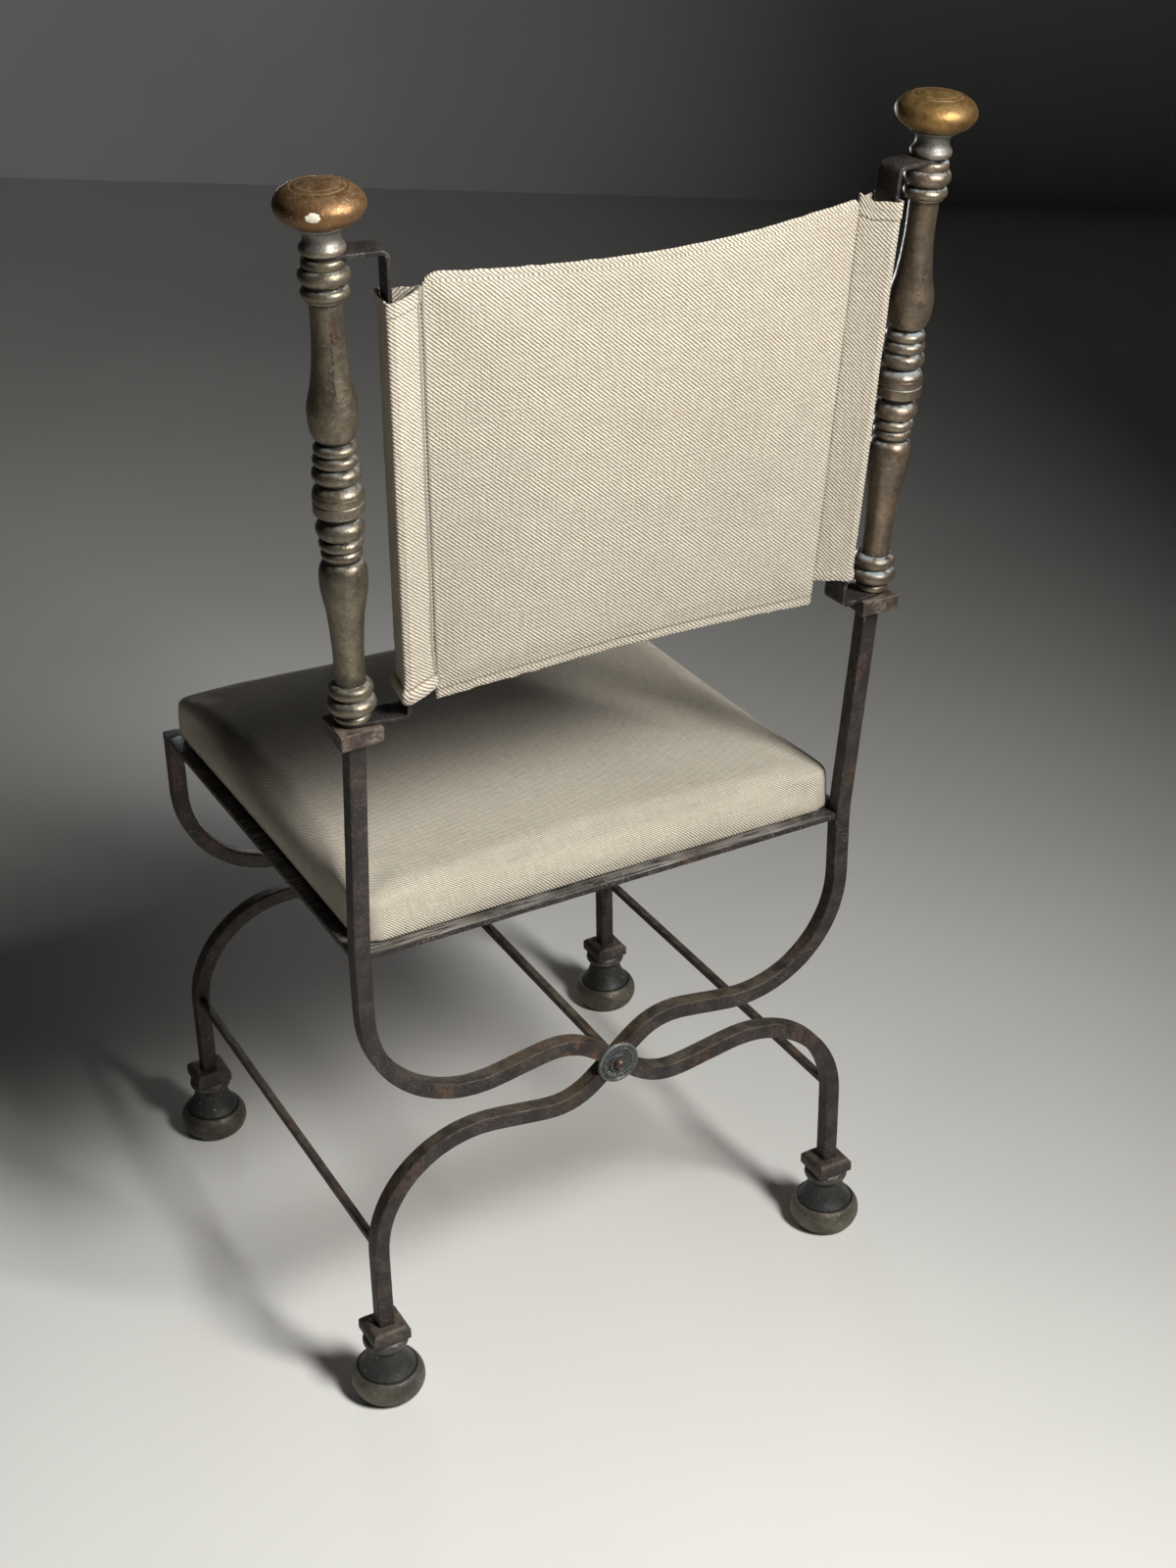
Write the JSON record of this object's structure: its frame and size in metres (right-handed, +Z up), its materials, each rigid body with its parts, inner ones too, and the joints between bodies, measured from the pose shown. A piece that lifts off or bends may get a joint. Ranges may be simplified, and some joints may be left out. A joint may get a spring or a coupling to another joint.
{
  "type": "savonarola side chair",
  "caption": "Side chair on two curved crossed iron frames, with turned bronze back posts under round finials, a linen sling back and a lift-out padded seat.",
  "frame": {"origin": "on the floor, at the middle of the overall bounding box seen from above", "axes": "+X to the sitter's left, -Y the way the sitter faces, +Z up"},
  "size_m": [0.4954, 0.5108, 0.9841],
  "materials": {
    "wrought_iron": "dark brown-grey wrought iron, worn and lightly rusted",
    "foot_bronze": "dark patinated bronze, grey-blue bell and brown bun",
    "bronze": "olive-brown patinated bronze, rubbed on the crests",
    "knob_bronze": "golden brown hand-polished bronze",
    "linen": "oatmeal linen twill",
    "seat_linen": "oatmeal linen twill over padding",
    "plywood": "plain unfinished board"
  },
  "bodies": {
    "frame": {"rear_bar_left_post": "wrought_iron", "rear_bar_right_post": "wrought_iron", "front_bar_left_post": "wrought_iron", "front_bar_right_post": "wrought_iron", "pivot_rod": "wrought_iron", "side_stretcher_left": "wrought_iron", "side_stretcher_right": "wrought_iron", "seat_rail_front": "wrought_iron", "seat_rail_rear": "wrought_iron", "seat_rail_left": "wrought_iron", "seat_rail_right": "wrought_iron", "post_plate_left": "wrought_iron", "post_plate_right": "wrought_iron", "tie_rod_left": "wrought_iron", "tie_rod_right": "wrought_iron", "sling_bracket_left": "wrought_iron", "sling_bracket_right": "wrought_iron", "rosette_rear": "wrought_iron", "rosette_front": "wrought_iron", "collar_rear_left": "wrought_iron", "foot_rear_left": "foot_bronze", "collar_rear_right": "wrought_iron", "foot_rear_right": "foot_bronze", "collar_front_left": "wrought_iron", "foot_front_left": "foot_bronze", "collar_front_right": "wrought_iron", "foot_front_right": "foot_bronze", "lower_casting_left": "bronze", "lower_casting_right": "bronze", "upper_casting_left": "bronze", "upper_casting_right": "bronze", "pivot_boss_rear": "knob_bronze", "pivot_boss_front": "knob_bronze", "back_panel": "linen", "sleeve_left": "linen", "sleeve_right": "linen"},
    "seat": {"seat_pad": "seat_linen", "seat_board": "plywood"},
    "finial_left": {"finial_left": "knob_bronze"},
    "finial_right": {"finial_right": "knob_bronze"}
  },
  "joints": [
    {"name": "seat_lift", "type": "slide", "parent": "frame", "child": "seat", "axis": [0, 0, 1], "range_m": [0, 0.1]},
    {"name": "finial_left_turn", "type": "hinge", "parent": "frame", "child": "finial_left", "pos_m": [0.21948, 0.22597, 0.95161], "axis": [0.0295, 0.0941, 0.9951], "continuous": true},
    {"name": "finial_right_turn", "type": "hinge", "parent": "frame", "child": "finial_right", "pos_m": [-0.21948, 0.22597, 0.95161], "axis": [-0.0295, 0.0941, 0.9951], "continuous": true}
  ]
}
